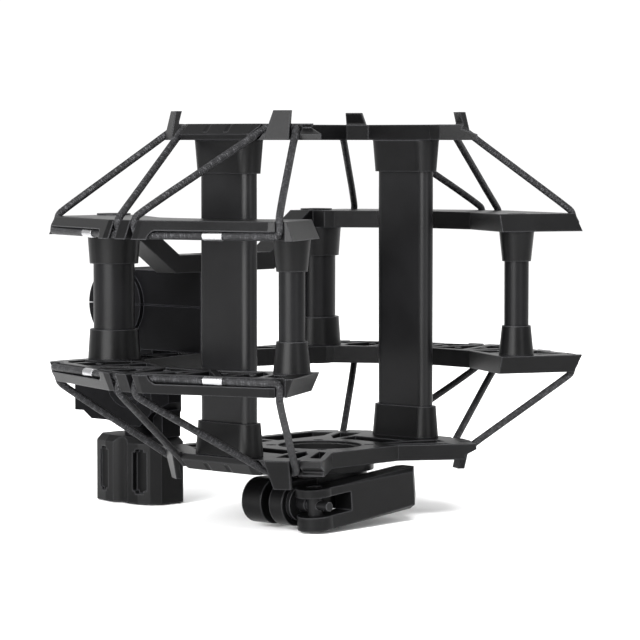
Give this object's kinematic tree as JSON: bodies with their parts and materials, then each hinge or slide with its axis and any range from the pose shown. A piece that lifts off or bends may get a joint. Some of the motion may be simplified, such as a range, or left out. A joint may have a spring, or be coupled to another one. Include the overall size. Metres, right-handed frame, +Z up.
{
  "type": "microphone shock mount",
  "caption": "Open frame with an inner cradle hung on elastic loops, a cam-lever clamp for a microphone's base and a tilting adapter for a stand",
  "frame": {"origin": "centre of the stand thread's mouth, on the underside of the stand socket", "axes": "+Z up along the microphone, +X to the right seen from the open front, +Y from the open front towards the stand adapter at the back; the microphone's axis is 74.4 mm in front of the origin"},
  "size_m": [0.157, 0.1462, 0.1169],
  "materials": {
    "frame_plastic": "fine-textured black moulding, slightly worn edges",
    "cradle_plastic": "fine-textured black moulding",
    "housing_plastic": "satin black moulding",
    "socket_plastic": "matte black moulding",
    "knob_plastic": "matte black moulding",
    "lever_plastic": "satin black moulding",
    "collar_plastic": "satin black moulding",
    "post_metal": "satin black coated tube",
    "side_post_metal": "satin black anodised bar",
    "black_steel": "black oxide",
    "bare_steel": "brushed",
    "insert_brass": "machined",
    "washer_fibre": "pressed fibre",
    "liner_rubber": "matte",
    "elastic_cord": "braided black sleeve with pale flecks",
    "crimp_metal": "pinched, satin"
  },
  "bodies": {
    "stand": {"stand_arm": "housing_plastic", "stand_socket": "socket_plastic", "socket_screw": "bare_steel", "thread_insert": "insert_brass"},
    "frame": {"upper_frame_plate": "frame_plastic", "lower_frame_plate": "frame_plastic", "back_posts": "post_metal", "front_posts": "post_metal", "back_collars": "collar_plastic", "front_collars": "collar_plastic", "frame_screws": "black_steel", "rear_housing_upper": "housing_plastic", "rear_housing_lower": "housing_plastic", "housing_screws": "black_steel", "friction_washers": "washer_fibre", "pivot_bolt": "black_steel", "upper_crimps": "crimp_metal", "lower_crimps": "crimp_metal", "elastic_upper_front_right": "elastic_cord", "elastic_upper_front_left": "elastic_cord", "elastic_upper_back_right": "elastic_cord", "elastic_upper_back_left": "elastic_cord", "elastic_lower_front_right": "elastic_cord", "elastic_lower_front_left": "elastic_cord", "elastic_lower_back_right": "elastic_cord", "elastic_lower_back_left": "elastic_cord"},
    "knob": {"tilt_knob": "knob_plastic"},
    "cradle": {"top_ring": "cradle_plastic", "bottom_plate": "cradle_plastic", "side_posts": "side_post_metal", "side_bushes": "collar_plastic", "cradle_screws": "black_steel", "clamp_collar": "cradle_plastic", "collar_screws": "black_steel", "clamp_liner": "liner_rubber", "clamp_bolt": "black_steel", "cam_washer": "black_steel", "cam_barrel": "black_steel"},
    "lever": {"cam_lever": "lever_plastic"},
    "nut": {"adjusting_nut": "black_steel"}
  },
  "joints": [
    {"name": "tilt", "type": "hinge", "parent": "stand", "child": "frame", "pos_m": [0, -0.0017, 0.0601], "axis": [1, 0, 0], "range_deg": [-60, 25]},
    {"name": "tilt_lock", "type": "hinge", "parent": "frame", "child": "knob", "pos_m": [0.018, -0.0017, 0.0601], "axis": [1, 0, 0], "range_deg": [0, 360]},
    {"name": "cradle_bounce", "type": "slide", "parent": "frame", "child": "cradle", "axis": [0, 0, 1], "range_m": [-0.005, 0.005], "stiffness_N_per_m": 800, "deforming": ["elastic_upper_front_right", "elastic_upper_front_left", "elastic_upper_back_right", "elastic_upper_back_left", "elastic_lower_front_right", "elastic_lower_front_left", "elastic_lower_back_right", "elastic_lower_back_left"]},
    {"name": "cam_swing", "type": "hinge", "parent": "cradle", "child": "lever", "pos_m": [-0.0185, -0.0896, 0.0073], "axis": [-0.0872, 0, 0.9962], "range_deg": [-110, 0]},
    {"name": "clamp_adjust", "type": "hinge", "parent": "cradle", "child": "nut", "pos_m": [-0.0185, -0.0694, 0.0073], "axis": [0, 1, 0], "range_deg": [-180, 180]}
  ]
}
